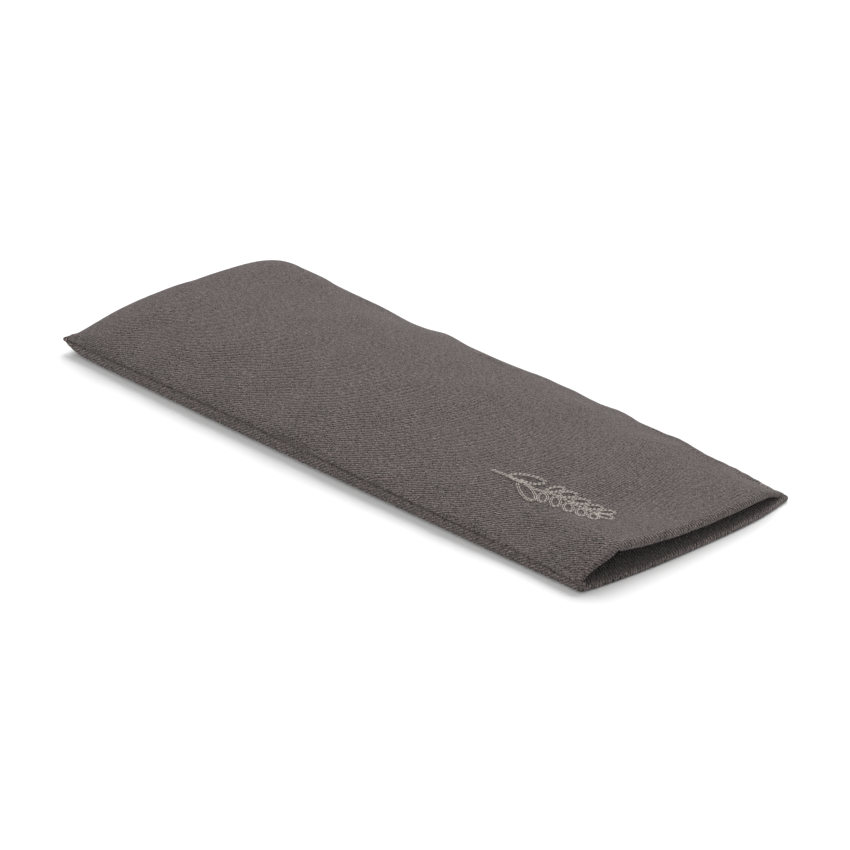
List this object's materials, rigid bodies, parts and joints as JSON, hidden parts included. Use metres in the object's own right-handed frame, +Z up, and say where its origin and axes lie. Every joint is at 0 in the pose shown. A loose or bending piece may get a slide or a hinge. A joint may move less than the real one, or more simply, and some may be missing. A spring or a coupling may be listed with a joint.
{
  "type": "eye pillow",
  "caption": "Flat weighted eye pillow: a cotton twill cover, sewn on three sides and open at one end, with a seed-filled cotton insert that slides out.",
  "frame": {"origin": "middle of the footprint, on the surface the pillow lies on", "axes": "+X along the pillow from the sewn end to the open mouth, +Y to its left side, +Z up through its thickness"},
  "size_m": [0.232, 0.086, 0.0166],
  "materials": {
    "cover_twill": "taupe-grey brushed cotton twill, matt",
    "cover_thread": "polyester sewing thread, taupe grey",
    "embroidery_thread": "rayon embroidery thread, pale grey-beige, soft sheen",
    "backing_felt": "nonwoven stabiliser, white",
    "label_tape": "woven satin tape, off-white, blank",
    "casing_cotton": "unbleached plain-weave cotton",
    "casing_thread": "cotton sewing thread, natural",
    "flaxseed": "loose flaxseed with dried lavender"
  },
  "bodies": {
    "cover": {"top_panel": "cover_twill", "bottom_panel": "cover_twill", "right_side_seam_thread": "cover_thread", "left_side_seam_thread": "cover_thread", "closed_end_seam_thread": "cover_thread", "right_side_overlock_thread": "cover_thread", "left_side_overlock_thread": "cover_thread", "closed_end_overlock_thread": "cover_thread", "top_hem_thread": "cover_thread", "bottom_hem_thread": "cover_thread", "embroidery_thread": "embroidery_thread", "embroidery_backing": "backing_felt", "care_label": "label_tape"},
    "insert": {"insert_top_panel": "casing_cotton", "insert_bottom_panel": "casing_cotton", "insert_side_seam_thread": "casing_thread", "insert_closing_thread": "casing_thread", "flaxseed_filling": "flaxseed"}
  },
  "joints": [
    {"name": "insert_slide", "type": "slide", "parent": "cover", "child": "insert", "axis": [1, 0, 0], "range_m": [0, 0.24], "deforming": ["top_panel", "top_hem_thread", "embroidery_thread", "embroidery_backing"]}
  ]
}
